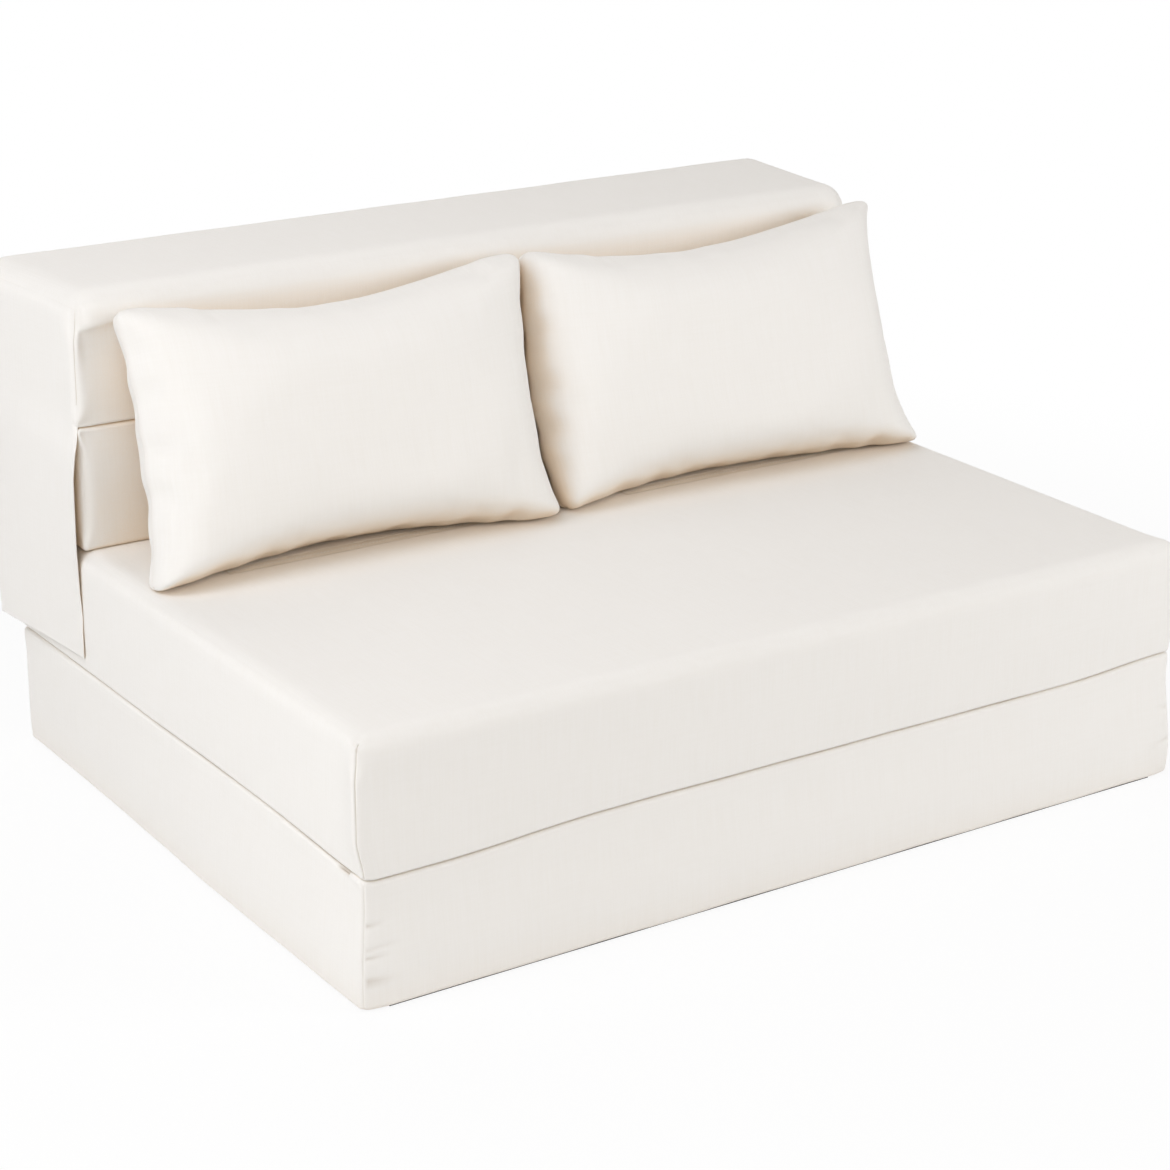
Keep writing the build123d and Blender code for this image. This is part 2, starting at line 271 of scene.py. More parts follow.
def woven_cotton(name, light, deep, shade, warmth, pitch, depth):
    """Plain-woven cotton with uneven threads, a soft nap, and painted warm shade in seams and
    hollows.
    """
    finish, tree = new_finish(name)
    place = cloth_place(tree)
    slubs = plus(tree, streaks(tree, place, 420.0, 14.0), streaks(tree, place, 10.0, 380.0), 0.5)
    slubs = times(tree, slubs, 0.667)
    weave = plain_weave(tree, place, pitch)
    ground = tint(tree, slubs, light, deep, 0.38, 0.72)
    pores = ranged(tree, weave, 0.0, 0.5, 0.35, 0.0)
    threads = blend(tree, pores, ground, [c * 0.86 for c in deep])
    # The seam value paints shade into the colour along seams, creases, knots and notches.
    seam = add_node(tree, "Attribute", {"attribute_name": "seam"}).outputs["Fac"]
    sewn = tint(tree, seam, threads, shade)
    # Ambient occlusion paints warm shade into the colour wherever other surfaces are near.
    air = add_node(tree, "AmbientOcclusion", {"samples": 4}, Distance=0.12).outputs["AO"]
    colour = blend(tree, ranged(tree, air, 0.0, 0.55, 1.0, 0.0), sewn, warmth, "MULTIPLY")
    height = plus(tree, plus(tree, weave, slubs, 0.6), noise(tree, place, 2600.0), 0.35)
    fuzz = {"Specular_IOR_Level": 0.25, "Sheen_Weight": 0.12, "Sheen_Roughness": 0.6}
    return surface(finish, colour, 0.92, height, 0.45, depth, **fuzz)


# The slab finish gets a weaker painted hollow shade than the cover finish.
cover_cloth, slab_cloth = (
    woven_cotton(name, CREAM, CREAM_DEEP, SEAM_PAINTED_SHADE, warmth, THREAD_PITCH, THREAD_DEPTH)
    for name, warmth in (("cover_cloth_cotton", HOLLOW_PAINTED_SHADE), ("slab_cloth_cotton", SLAB_PAINTED_SHADE))
)
print("finishes", cover_cloth.name, slab_cloth.name, len(cover_cloth.node_tree.nodes), "nodes each")

# %% [markdown]
# ## Finishes inside and underneath
#
# The foam is pale yellow with open pores, the pillow bags are a thin white ticking with white
# fibre in them, the underside is a dark cloth with rubber dots that grips the floor, the stiff
# board is brown and flecked, and the zips are a woven tape with pale lacquered metal. All of them
# are procedural: noise, cells and waves give pores, dots, flecks and threads at their real size.


# %% Foam, board and fibre
def porous_foam(name, light, deep, pore_size):
    """Open foam: small round pores in a pale body that yellows a little unevenly."""
    finish, tree = new_finish(name)
    place = object_place(tree)
    pores = add_node(tree, "TexVoronoi", Vector=place, Scale=1.0 / pore_size)
    pores = pores.outputs["Distance"]
    body = tint(tree, noise(tree, place, 9.0, 3.0), light, deep, 0.3, 0.7)
    pits = ranged(tree, pores, 0.0, 0.35, 0.6, 0.0)
    colour = blend(tree, pits, body, [c * 0.6 for c in deep])
    return surface(finish, colour, 0.95, pores, 0.8, 0.0008)


def pressed_board(name, light, deep):
    """Grey-brown pressed board with fine flecks of fibre."""
    finish, tree = new_finish(name)
    long = add_node(tree, "Mapping", Vector=object_place(tree), Scale=(90.0, 90.0, 500.0))
    flecks = noise(tree, long.outputs[0], 1.0, 5.0)
    colour = tint(tree, flecks, light, deep, 0.35, 0.7)
    return surface(finish, colour, 0.85, flecks, 0.4, 0.0003)


def loose_fibre(name, light, deep):
    """Carded fibre: fine crossed strands with soft hollows between them."""
    finish, tree = new_finish(name)
    place = object_place(tree)
    swirl = noise(tree, place, 60.0, 6.0, Distortion=2.5)
    height = plus(tree, swirl, noise(tree, place, 900.0, Distortion=4.0), 0.25)
    colour = tint(tree, swirl, light, deep, 0.3, 0.75)
    return surface(finish, colour, 1.0, height, 0.7, 0.003)


TICKING = (0.90, 0.90, 0.89), (0.85, 0.85, 0.84), (0.6, 0.6, 0.58)
foam_finish = porous_foam("foam_pale", (0.90, 0.86, 0.70), (0.86, 0.80, 0.60), 0.0022)
board_finish = pressed_board("board_brown", (0.50, 0.40, 0.28), (0.36, 0.27, 0.18))
fibre_finish = loose_fibre("fibre_white", (0.93, 0.93, 0.92), (0.82, 0.82, 0.80))
# The ticking takes the slabs' painted hollow shade.
ticking_finish = woven_cotton("ticking_white", *TICKING, SLAB_PAINTED_SHADE, 0.0006, 0.0002)
print("finishes", foam_finish.name, board_finish.name, fibre_finish.name, ticking_finish.name)


# %% Grip cloth, zip tape and zip metal
def dotted_grip_cloth(name, cloth, rubber, dot_pitch):
    """Dark woven cloth with a grid of small rubber dots on it."""
    finish, tree = new_finish(name)
    place = cloth_place(tree)
    grid = {"Vector": cells(tree, place, dot_pitch), "Scale": 1.0, "Randomness": 0.0}
    nearest = add_node(tree, "TexVoronoi", **grid)
    dot = ranged(tree, nearest.outputs["Distance"], 0.30, 0.24)
    weave = plain_weave(tree, place, 0.0009)
    colour = tint(tree, dot, tint(tree, weave, [c * 0.7 for c in cloth], cloth), rubber)
    return surface(finish, colour, 0.8, plus(tree, dot, weave, 0.3), 0.7, 0.0008)


def lacquered_metal(name, light, deep):
    """Pale lacquered zinc with fine casting grain and small scuffs."""
    finish, tree = new_finish(name)
    place = object_place(tree)
    grain = noise(tree, place, 1500.0, 3.0)
    scuffs = noise(tree, place, 260.0, 5.0)
    colour = tint(tree, scuffs, light, deep, 0.45, 0.7)
    rough = ranged(tree, scuffs, 0.3, 0.7, 0.28, 0.5)
    return surface(finish, colour, rough, grain, 0.25, 0.0001, Metallic=0.75)


# The tape takes the painted seam shade and the slabs' painted hollow shade.
TAPE = (0.82, 0.79, 0.73), (0.76, 0.72, 0.65), SEAM_PAINTED_SHADE
grip_finish = dotted_grip_cloth("grip_cloth_dark", (0.055, 0.055, 0.06), (0.02, 0.02, 0.022), 0.006)
tape_finish = woven_cotton("zip_tape_cream", *TAPE, SLAB_PAINTED_SHADE, 0.0007, 0.0002)
metal_finish = lacquered_metal("zip_metal_pale", (0.78, 0.76, 0.71), (0.66, 0.64, 0.60))
print("finishes", grip_finish.name, tape_finish.name, metal_finish.name)

# %% [markdown]
# ## Covers of the blocks
#
# Each block is foam in a cover of six sewn panels. Foam pushes the panels out a little, and each
# seam holds the cloth down in a narrow dip. A rounded box from a bevel would have neither, so the
# cover is built point by point: a box of six grids, close together near the edges, is rounded by
# formula, then pushed out and in along its own normals.

# %% A box of grids
EDGE_TICKS = [
    0.0, 0.0007, 0.0014, 0.0022, 0.0032, 0.0045, 0.0062, 0.0085, 0.0115, 0.0155, 0.021, 0.028, 0.037
]
PANEL_SHIFT = 0.37
PANELS = (
    ("front", 1, 0, 0, 2),
    ("rear", 1, 1, 0, 2),
    ("left", 0, 0, 1, 2),
    ("right", 0, 1, 1, 2),
    ("top", 2, 1, 0, 1),
    ("underside", 2, 0, 0, 1),
)


def ticks(length, step, near=EDGE_TICKS):
    """Places along one side of a block, close together near both ends."""
    half = length / 2
    start = [t for t in near if t < 0.7 * half]
    count = max(2, round((half - start[-1]) / step) + 1)
    first = np.array(start[:-1] + list(np.linspace(start[-1], half, count)))
    return np.concatenate([first, (length - first[:-1])[::-1]])


def grid_quads(numbers, turned=False):
    """The quads of a grid of point numbers. Turned ones face the other way."""
    ring = [numbers[:-1, :-1], numbers[1:, :-1], numbers[1:, 1:], numbers[:-1, 1:]]
    if turned:
        ring.reverse()
    return np.stack([corner.ravel() for corner in ring], 1)


def box_lattice(size, step):
    """Points on a box from its low corner, its quads and the quads' flat coordinates."""
    marks = [ticks(side, gap) for side, gap in zip(size, step)]
    counts = [len(m) for m in marks]
    keys, points, quads, flats = [], [], [], []
    start = 0
    for number, (_, axis, high, across, up) in enumerate(PANELS):
        lattice = np.zeros((counts[across], counts[up], 3), int)
        lattice[..., across] = np.arange(counts[across])[:, None]
        lattice[..., up] = np.arange(counts[up])
        lattice[..., axis] = (counts[axis] - 1) * high
        numbers = np.arange(counts[across] * counts[up]).reshape(lattice.shape[:2])
        quad = grid_quads(numbers, turned=bool(high) == (axis == 1))
        lattice = lattice.reshape(-1, 3)
        keys.append((lattice[:, 0] * counts[1] + lattice[:, 1]) * counts[2] + lattice[:, 2])
        points.append(np.stack([marks[k][lattice[:, k]] for k in range(3)], 1))
        quads.append(quad + start)
        flats.append(points[-1][:, [across, up]][quad] + PANEL_SHIFT * number)
        start += numbers.size
    _, first, place = np.unique(np.concatenate(keys), return_index=True, return_inverse=True)
    return np.concatenate(points)[first], place[np.concatenate(quads)], np.concatenate(flats)


# %% Rounding, waves and the mesh itself
def smooth(value):
    """A soft step from 0 to 1."""
    value = np.clip(value, 0.0, 1.0)
    return value * value * (3.0 - 2.0 * value)


def bell(distance, width):
    """1 at no distance, and almost nothing from twice the width on."""
    return np.exp(-((distance / width) ** 2))


def rounded(points, size, side, top, bottom, foot=None, reach=0.03):
    """Rounds a box's upright edges by side, and its upper and lower edges by top and bottom.

    foot is the radius of the upright edges near the bottom, where it differs from bottom. Returns
    the rounded points and the outward direction at each.
    """
    height = points[:, 2]
    upper = smooth((height - (size[2] - top - reach)) / reach)
    lower = smooth((bottom + reach - height) / reach)
    plan = side + (top - side) * upper + ((foot or bottom) - side) * lower
    rise = np.where(height > size[2] / 2, top, bottom)
    radii = np.stack([plan, plan, rise], 1)
    inner = np.clip(points, radii, size - radii)
    out = (points - inner) / radii
    out /= np.linalg.norm(out, axis=1, keepdims=True)
    return inner + radii * out, out


def ripple(points, pitch, seed, waves=7):
    """A smooth, repeatable unevenness from -1 to 1, with waves about a pitch long."""
    rng = np.random.default_rng(seed)
    total = np.zeros(len(points))
    for _ in range(waves):
        way = rng.normal(size=3)
        way *= 2 * pi / pitch * rng.uniform(0.6, 1.5) / np.linalg.norm(way)
        total += np.sin(points @ way + rng.uniform(0, 2 * pi))
    return total / waves**0.5 / 1.4


def new_piece(name, points, faces, finishes, body, node, flats=None):
    """A mesh in place of a node, on its body. flats are flat coordinates in metres."""
    mesh = bpy.data.meshes.new(name)
    mesh.from_pydata(points.tolist(), [], faces)
    if flats is not None:
        layer = mesh.uv_layers.new(name="cloth")
        layer.data.foreach_set("uv", np.asarray(flats, dtype=np.float32).ravel())
    for finish in finishes:
        mesh.materials.append(finish)
    mesh.update()
    piece = add_object(name, mesh)
    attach(piece, body)
    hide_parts(node)
    return piece


def cloth_mesh(name, points, quads, flats, seam, finish, body, node):
    """A smooth piece with its flat cloth coordinates and its seam values, which paint shade into
    its colour.
    """
    piece = new_piece(name, points, quads.tolist(), [finish], body, node, flats)
    values = piece.data.attributes.new("seam", "FLOAT", "POINT")
    values.data.foreach_set("value", np.asarray(np.zeros(len(points)) + seam, dtype=np.float32))
    piece.data.polygons.foreach_set("use_smooth", [True] * len(quads))
    piece.data.update()
    return piece


# %% Seams, swell and puckers of a block
def edge_distances(points, size):
    """Distance of each point from the block's upright, upper and lower edges, over its surface."""
    near_x, near_y, _ = np.minimum(points, size - points).T
    side, height = np.minimum(near_x, near_y), points[:, 2]
    return np.hypot(near_x, near_y), np.hypot(side, size[2] - height), np.hypot(side, height)


def dip(distance, depth, width=0.0016, puff=0.0004, puff_at=0.009):
    """Height change beside a seam: a narrow dip with a low swelling next to it."""
    return puff * bell(distance - puff_at, 0.006) - depth * bell(distance, width)


def pucker(points, start, end, depth, width):
    """A short crease from start to end, deepest near its start."""
    way = np.array(end) - start
    share = np.clip((points - start) @ way / (way @ way), 0.0, 1.0)
    gap = np.linalg.norm(points - (start + share[:, None] * way), axis=1)
    return -depth * (1.0 - share) ** 0.7 * bell(gap, width)


def swell(points, size, amounts):
    """How far foam pushes each panel out at its middle, by panel name."""
    total = np.zeros(len(points))
    for name, axis, high, across, up in PANELS:
        on_panel = np.abs(points[:, axis] - size[axis] * high) < 1e-7
        share_a = points[:, across] / size[across]
        share_b = points[:, up] / size[up]
        bulge = (4 * share_a * (1 - share_a)) ** 0.45 * (4 * share_b * (1 - share_b)) ** 0.7
        total = np.where(on_panel, np.maximum(total, amounts.get(name, 0.0) * bulge), total)
    return total


BLOCK_STEP = (0.011, 0.011, 0.003)


def block_cover(
    name, node, body, low, high, radii, swells, seams=(),
    extra=None, form=None, finish=cover_cloth, seed=1,
):
    """A sewn cover over a block. seams: dip and painted shade of its upright, upper and lower
    edges.

    extra gives more shifts along the outward directions and more painted shade; form reshapes the
    whole.
    """
    size = high - low
    points, quads, flats = box_lattice(size, BLOCK_STEP)
    shape, out = rounded(points, size, *radii)
    distances = edge_distances(points, size)
    uneven = 0.00035 * ripple(points, 0.16, seed) * smooth(distances[0] / 0.05)
    push = swell(points, size, swells) + uneven
    seam = np.zeros(len(points))
    for distance, (depth, shade) in zip(distances, seams):
        push += dip(distance, depth) * (0.85 + 0.3 * ripple(points, 0.05, seed + 3))
        # Each seam gets painted shade in a narrow line along it.
        seam = np.maximum(seam, bell(distance, 0.0009) * shade)
    if extra is not None:
        shift, shade = extra(points, size)
        push += shift
        seam = np.maximum(seam, shade)
    shape = shape + out * push[:, None] + low
    if form is not None:
        shape = form(shape)
    piece = cloth_mesh(name, shape, quads, flats, seam, finish, body, node)
    print(name, "points", len(points), "faces", len(quads))


# %% Base, seat and head covers
SIDE_RADIUS = 0.010
SOFT_RADIUS = 0.022
SEAM_RADIUS = 0.0055
FLOOR_RADIUS = 0.007
FOOT_CORNER = 0.014
FOOT_FULLNESS = 0.013
SIDE_FULLNESS = 0.009
CORNER_TURN = 0.0085
UNDERSIDE_SHOWS = 0.0010
HALF_WIDTH = 0.6
FRONT_LINE = -0.471
SEAM_HEIGHT = 0.1605


def seam_line(points):
    """The line between base and seat, which sags at its left front end and rises at its right."""
    x, y, z = points.T
    sag = smooth((-0.28 - x) / 0.22) * (1.0 - 0.35 * smooth((-0.583 - x) / 0.017))
    rise = smooth((x - 0.42) / 0.17)
    near = smooth(1.0 - np.abs(z - SEAM_HEIGHT) / 0.10)
    bent = points.copy()
    bent[:, 2] += (0.008 * rise - 0.009 * sag) * smooth((-0.22 - y) / 0.22) * near
    return bent


def full_foot(points):
    """Brings the foot of the base forwards and out to its sides, where it stands on the floor."""
    x, y, z = points.T
    across = np.abs(x)
    low = smooth((0.16 - z) / 0.14)
    corner = 0.7 + 0.3 * smooth((HALF_WIDTH - across) / 0.035)
    out = SIDE_FULLNESS * smooth((across - 0.50) / 0.09) * low * smooth((0.30 - y) / 0.5)
    bent = seam_line(points)
    bent[:, 0] += np.sign(x) * out
    bent[:, 1] -= FOOT_FULLNESS * smooth((-0.37 - y) / 0.09) * low * corner
    return bent


def turned_corners(points):
    """Turns the seat's upright front seams a little round to its sides, less towards the base."""
    x, y, z = points.T
    aside = np.hypot(HALF_WIDTH - np.abs(x), y - FRONT_LINE)
    bent = seam_line(points)
    bent[:, 0] += np.sign(x) * CORNER_TURN * smooth((z - 0.163) / 0.045) * bell(aside, 0.030)
    return bent


def base_creases(points, size):
    """Small creases in the base's front panel beside its corners, and a tack in its side seams,
    both darkened by painted shade.
    """
    creases = [
        ((0.006, 0, 0.104), (0.026, 0, 0.106), 0.0028, 0.0030),
        ((0.006, 0, 0.074), (0.052, 0, 0.079), 0.0020, 0.0026),
        ((0.006, 0, 0.064), (0.036, 0, 0.066), 0.0026, 0.0028),
        ((0.008, 0, 0.038), (0.040, 0, 0.036), 0.0032, 0.0032),
        ((1.194, 0, 0.092), (1.170, 0, 0.094), 0.0022, 0.0030),
        ((1.194, 0, 0.050), (1.160, 0, 0.046), 0.0026, 0.0032),
    ]
    x, y, z = points.T
    shift = sum(pucker(points, *crease) for crease in creases)
    # Painted shade: the colour darkens along the creases and in the notch of the side tack.
    shade = np.clip(-shift / 0.0030, 0.0, 1.0) ** 2 * 0.36
    rim = bell(np.hypot(np.minimum(x, size[0] - x), size[2] - z), 0.006)
    closed = smooth((y - 0.003) / 0.006) * smooth((0.034 - y) / 0.008)
    notch = smooth((y - 0.030) / 0.006) * smooth((0.052 - y) / 0.006)
    return shift + rim * (0.0034 * closed - 0.0050 * notch), np.maximum(shade, notch * rim**2)


def seat_knots(points, size):
    """The pulled-out corner seams, with a small knot at each upper front corner darkened by painted
    shade.
    """
    x, y, z = points.T
    rise = smooth((z - 0.02) / (size[2] - 0.03))
    below = smooth((size[2] + 0.004 - z) / 0.012)
    shift, shade = np.zeros(len(points)), np.zeros(len(points))
    for edge in (0.0, size[0]):
        gap = np.linalg.norm(points - [edge, 0.0, size[2] - 0.010], axis=1)
        shift += 0.0025 * rise * bell(np.hypot(x - edge, y), 0.014) * below
        shift += 0.0015 * bell(gap, 0.003)
        # Painted shade: a small dark spot at each knot.
        shade += 0.8 * bell(gap, 0.0022)
    return shift, shade


def mirrored_puckers(points, size, creases):
    """Creases beside both upright front edges, each from one x inwards and z to another."""
    shift = np.zeros(len(points))
    for edge, way in ((0.0, 1.0), (size[0], -1.0)):
        for (x1, z1), (x2, z2), depth, width in creases:
            ends = (edge + way * x1, 0, z1), (edge + way * x2, 0, z2)
            shift += pucker(points, *ends, depth, width)
    return shift


def head_tucks(points, size):
    """Short creases that run from the head block's upper front corners into its front panel."""
    creases = (
        ((0.006, 0.152), (0.040, 0.138), 0.0022, 0.0050),
        ((0.008, 0.148), (0.020, 0.112), 0.0016, 0.0040),
    )
    return mirrored_puckers(points, size, creases), 0.0


base_low, base_high = node_box("base_cover")
# The lift shows the dark underside as a thin dark line along the base's foot: real cloth that also
# stands in for the shadow where the base meets the floor.
base_low[2] += UNDERSIDE_SHOWS
block_cover(
    "base_cover_cloth", "base_cover", "base", base_low, base_high,
    (SIDE_RADIUS, SEAM_RADIUS, FLOOR_RADIUS, FOOT_CORNER),
    {"front": 0.0012, "left": 0.0014, "right": 0.0014},
    ((0.0006, 0.15),), base_creases, full_foot, slab_cloth, seed=11,
)
seat_low, seat_high = node_box("seat_cover")
block_cover(
    "seat_cover_cloth", "seat_cover", "seat", seat_low, seat_high,
    (0.007, SOFT_RADIUS, SEAM_RADIUS),
    {"front": 0.0014, "left": 0.0014, "right": 0.0014},
    ((0.0011, 0.55),), seat_knots, turned_corners, slab_cloth, seed=12,
)
block_cover(
    "head_cover_cloth", "head_cover", "head", *node_box("head_cover"),
    (0.017, SEAM_RADIUS, SEAM_RADIUS),
    {"front": 0.0015, "left": 0.0015, "right": 0.0015},
    extra=head_tucks, seed=13,
)

# %% [markdown]
# ## Hood
#
# The hood is one cloth cap over the upper block, with a thin end panel on each side that hangs
# on down past the top of the seat, and a padded panel behind. The cap and the rear panel are
# made as the other covers are. An end panel is a single sheet, a little bowed where it hangs
# free, so it is built as a thin grid with a real thickness.

# %% Cap and rear panel of the hood
END_PANEL = 0.0012
CAP_RADIUS = 0.034
FRONT_ROLL = 0.016
CAP_INSET = 0.0100
HOOD_FLARE = 0.0340
HOOD_REACH = 0.016
REAR_SQUARENESS = 7.0
cap_low, cap_high = node_box("hood_top_cover")
rear_low, rear_high = node_box("hood_rear_cover")
cap_start = cap_low + np.array([CAP_INSET, 0.0, 0.0])
cap_end = np.array([cap_high[0] - CAP_INSET, rear_high[1] - 0.0012, cap_high[2]])


def flare(points):
    """Widens the hood towards the rear, where its end panels stand further out."""
    wide = points.copy()
    wide[:, 0] *= 1.0 + HOOD_FLARE * smooth((points[:, 1] - cap_low[1] - 0.01) / 0.30)
    return wide


def hood_form(points):
    """The flared hood: its rear upper edge rolls less, and its right end reaches further out."""
    x, y, z = points.T
    back = np.maximum((y - cap_end[1]) / CAP_RADIUS + 1.0, 0.0)
    rise = np.maximum((z - cap_end[2]) / CAP_RADIUS + 1.0, 0.0)
    rolled = (back > 0) & (rise > 0)
    corner = (back**REAR_SQUARENESS + rise**REAR_SQUARENESS) ** (1 / REAR_SQUARENESS)
    squarer = np.ones(len(points))
    squarer[rolled] = np.hypot(back, rise)[rolled] / corner[rolled]
    shape = points.copy()
    shape[:, 0] += HOOD_REACH * smooth((x - 0.42) / 0.15) * smooth((z - cap_low[2] - 0.03) / 0.06)
    shape[:, 1] += back * CAP_RADIUS * (squarer - 1.0)
    shape[:, 2] += rise * CAP_RADIUS * (squarer - 1.0)
    return flare(shape)


def cap_creases(points, size):
    """The fold under the cap's front corners and the small tuck where it meets the head block."""
    creases = (
        ((0.012, 0.150), (0.020, 0.122), 0.0022, 0.0050),
        ((0.004, 0.004), (0.034, 0.013), 0.0022, 0.0050),
    )
    x, y, z = points.T
    shift = mirrored_puckers(points, size, creases)
    for aside in (x, size[0] - x):
        below = 0.119 + 0.14 * aside - z
        ledge = smooth((below + 0.003) / 0.006) * (1 - smooth(below / 0.080))
        reach = smooth((aside - 0.004) / 0.012) * (1 - smooth((aside - 0.05) / 0.08))
        shift -= np.where(np.abs(y) < 1e-7, 0.0055 * ledge * reach, 0.0)
    return shift, 0.0


block_cover(
    "hood_top_cloth", "hood_top_cover", "hood", cap_start, cap_end,
    (FRONT_ROLL, CAP_RADIUS, SEAM_RADIUS),
    {"front": 0.0015, "top": 0.0006},
    extra=cap_creases, form=hood_form, seed=14,
)
block_cover(
    "hood_rear_cloth", "hood_rear_cover", "hood",
    np.array([cap_start[0] + 0.0006, rear_low[1], rear_low[2]]),
    np.array([cap_end[0] - 0.0006, rear_high[1], rear_high[2] - 0.016]),
    (0.007, 0.010, 0.008),
    {},
    ((0.0008, 0.2), (0.0012, 0.3), (0.0010, 0.2)), form=flare, seed=15,
)


# %% End panels of the hood
FLAP_EDGE_HEIGHTS = [0.174, 0.214, 0.232, 0.250, 0.265, 0.326, 0.418, 0.470]
FLAP_EDGE_OUT = [0.6040, 0.6040, 0.6030, 0.6040, 0.6053, 0.6070, 0.6062, 0.6000]
FLAP_OUT = 0.6048
PROUD = 0.0006


def on_cap(y, z):
    """Places on the cap's rounded end for flat places on its end plane, and the outward ways."""
    size = cap_end - cap_start
    height = z - cap_start[2]
    flat = np.stack([np.full(len(y), size[0]), y - cap_start[1], np.maximum(height, 0.06)], 1)
    shape, out = rounded(flat, size, FRONT_ROLL, CAP_RADIUS, SEAM_RADIUS)
    shape[:, 2] += np.minimum(height - 0.06, 0.0)
    return shape + cap_start, out


def end_panel(side, word):
    """One sheet from the cap's upper edge down to the hem beside the seat. side is -1 or 1.

    Above, it lies on the end of the cap and is sewn to it. Below, its front edge follows the
    heights and reaches read in the photograph: a little away from the head block, then close to
    the seat.
    """
    name, node = f"hood_{word}_end_cloth", f"hood_{word}_flap"
    front = cap_start[1] + 0.0015
    back = cap_end[1] - 0.0060
    hem = node_box(node)[0][2]
    top = cap_end[2] - 0.0150
    across = ticks(back - front, 0.008, [0, 0.001, 0.002, 0.0035, 0.0055, 0.008, 0.011, 0.015])
    up = ticks(top - hem, 0.007, [0, 0.001, 0.002, 0.0035, 0.006, 0.009, 0.013])
    y, z = (grid.ravel() for grid in np.meshgrid(front + across, hem + up, indexing="ij"))
    cap_shape, cap_out = on_cap(y, z)
    free = smooth((cap_start[2] + 0.012 - z) / 0.050)
    edge_out = np.interp(z, FLAP_EDGE_HEIGHTS, FLAP_EDGE_OUT)
    to_front = np.clip(1.0 - (y - front) / 0.07, 0.0, 1.0)
    to_back = smooth((y - (back - 0.034)) / 0.030)
    hang = FLAP_OUT + (edge_out - FLAP_OUT) * to_front**1.8
    hang += (cap_end[0] + PROUD - hang) * to_back
    hang /= 1.0 + HOOD_FLARE * smooth((y - cap_low[1] - 0.01) / 0.30) * (1 - to_back) * 0.4
    flat = np.stack([y, z, np.zeros(len(y))], 1)
    hang += 0.0005 * ripple(flat, 0.15, 31) * smooth((y - front) / 0.03) * (1 - to_back)
    tilt = 2 * (y - front) / (back - front) - 1
    drop = 0.0035 * tilt * smooth((cap_start[2] - z) / 0.3)
    loose = np.stack([hang, y - 0.0020, z - drop], 1)
    proud = PROUD * (0.1 + 0.9 * smooth((top - z) / 0.008))[:, None]
    points = []
    for layer in (proud, proud - END_PANEL):
        held = cap_shape + cap_out * layer
        place = held + (loose + (layer - proud) * [1.0, 0.0, 0.0] - held) * free[:, None]
        place[:, 0] *= side
        points.append(hood_form(place))
    cell = np.arange(len(y)).reshape(len(across), len(up))
    rim = np.concatenate([cell[:, 0], cell[-1, 1:], cell[::-1, -1][1:], cell[0, ::-1][1:-1]])
    after = np.roll(rim, -1)
    wall = np.stack([rim, rim + len(y), after + len(y), after], 1)[:, ::side]
    quads = np.concatenate([grid_quads(cell, side < 0), grid_quads(cell, side > 0) + len(y), wall])
    # Painted shade along the front seam, where the panel meets the cap's front.
    seam = bell(y - front, 0.0011) * smooth((z - cap_start[2]) / 0.01)
    seam = np.tile(0.3 * seam * smooth((top - 0.012 - z) / 0.03), 2)
    flats = np.tile(flat[:, :2], (2, 1))[quads]
    piece = cloth_mesh(
        name, np.concatenate(points), quads, flats, seam, cover_cloth, "hood", node
    )
    print(name, "flat", round(back - front, 3), "x", round(top - hem, 3))


end_panel(-1, "left")
end_panel(1, "right")

# %% [markdown]
# ## Underside and hinge strips
#
# The base stands on a panel of dark cloth with rubber dots. A cloth strip joins base and seat
# along the front, and another joins the seat and the head block behind, so that the blocks can
# fold out in a row. They are flat bands of cloth with a turned edge, made from the same grids.


# %% Flat cloth bands
STRIP_WAVE = 0.0001
BAND_STEP = 0.012


def cloth_band(name, node, finish, body, wave=STRIP_WAVE, spare=(0, 0, 0), form=None):
    """A thin flat piece of cloth in its node's place, with slightly soft edges. spare widens it."""
    low, high = node_box(node)
    low, high = low - spare, high + spare
    size = high - low
    edge = float(min(size)) * 0.45
    points, quads, flats = box_lattice(size, (BAND_STEP,) * 3)
    inner = np.clip(points, edge, size - edge)
    out = points - inner
    length = np.linalg.norm(out, axis=1, keepdims=True)
    shape = inner + out / np.maximum(length, 1e-9) * np.minimum(length, edge) + low
    shape[:, np.argmin(size)] += wave * ripple(points, 0.09, 41) * 0.5
    if form is not None:
        shape = form(shape)
    cloth_mesh(name, shape, quads, flats, 0.0, finish, body, node)
    print(name, "size", [round(float(v), 4) for v in size])


# The spare makes the dark underside 7.5 mm longer at the front and the rear, so it reaches the foot
# and shows there as a thin dark line that also stands in for the shadow at the floor.
UNDERSIDE_SPARE = (-0.02, 0.0075, 0.0)
cloth_band(
    "base_underside_grip", "base_underside", grip_finish, "base",
    0.0, UNDERSIDE_SPARE, full_foot,
)
cloth_band(
    "front_hinge_cloth", "front_hinge_strip", cover_cloth, "base", form=seam_line
)
cloth_band("rear_hinge_cloth", "rear_hinge_strip", cover_cloth, "seat")

# %% [markdown]
# ## Foam and board
#
# The foam cores stand in their covers with a little room, and those of the base and the seat stay
# 7 mm back from the front and the rear. Nothing of them shows until a cover is opened, so they
# are plain rounded blocks with the foam finish. The board is flat and hard, so its own solid
# stays and only gets its finish.

# %% Foam cores
FOAM_CLEARANCE = np.array([0.0012, 0.0012, 0.0008])
FOAM_STEP = 0.03
SLAB_TRIM = (0.0, 0.007, 0.0)


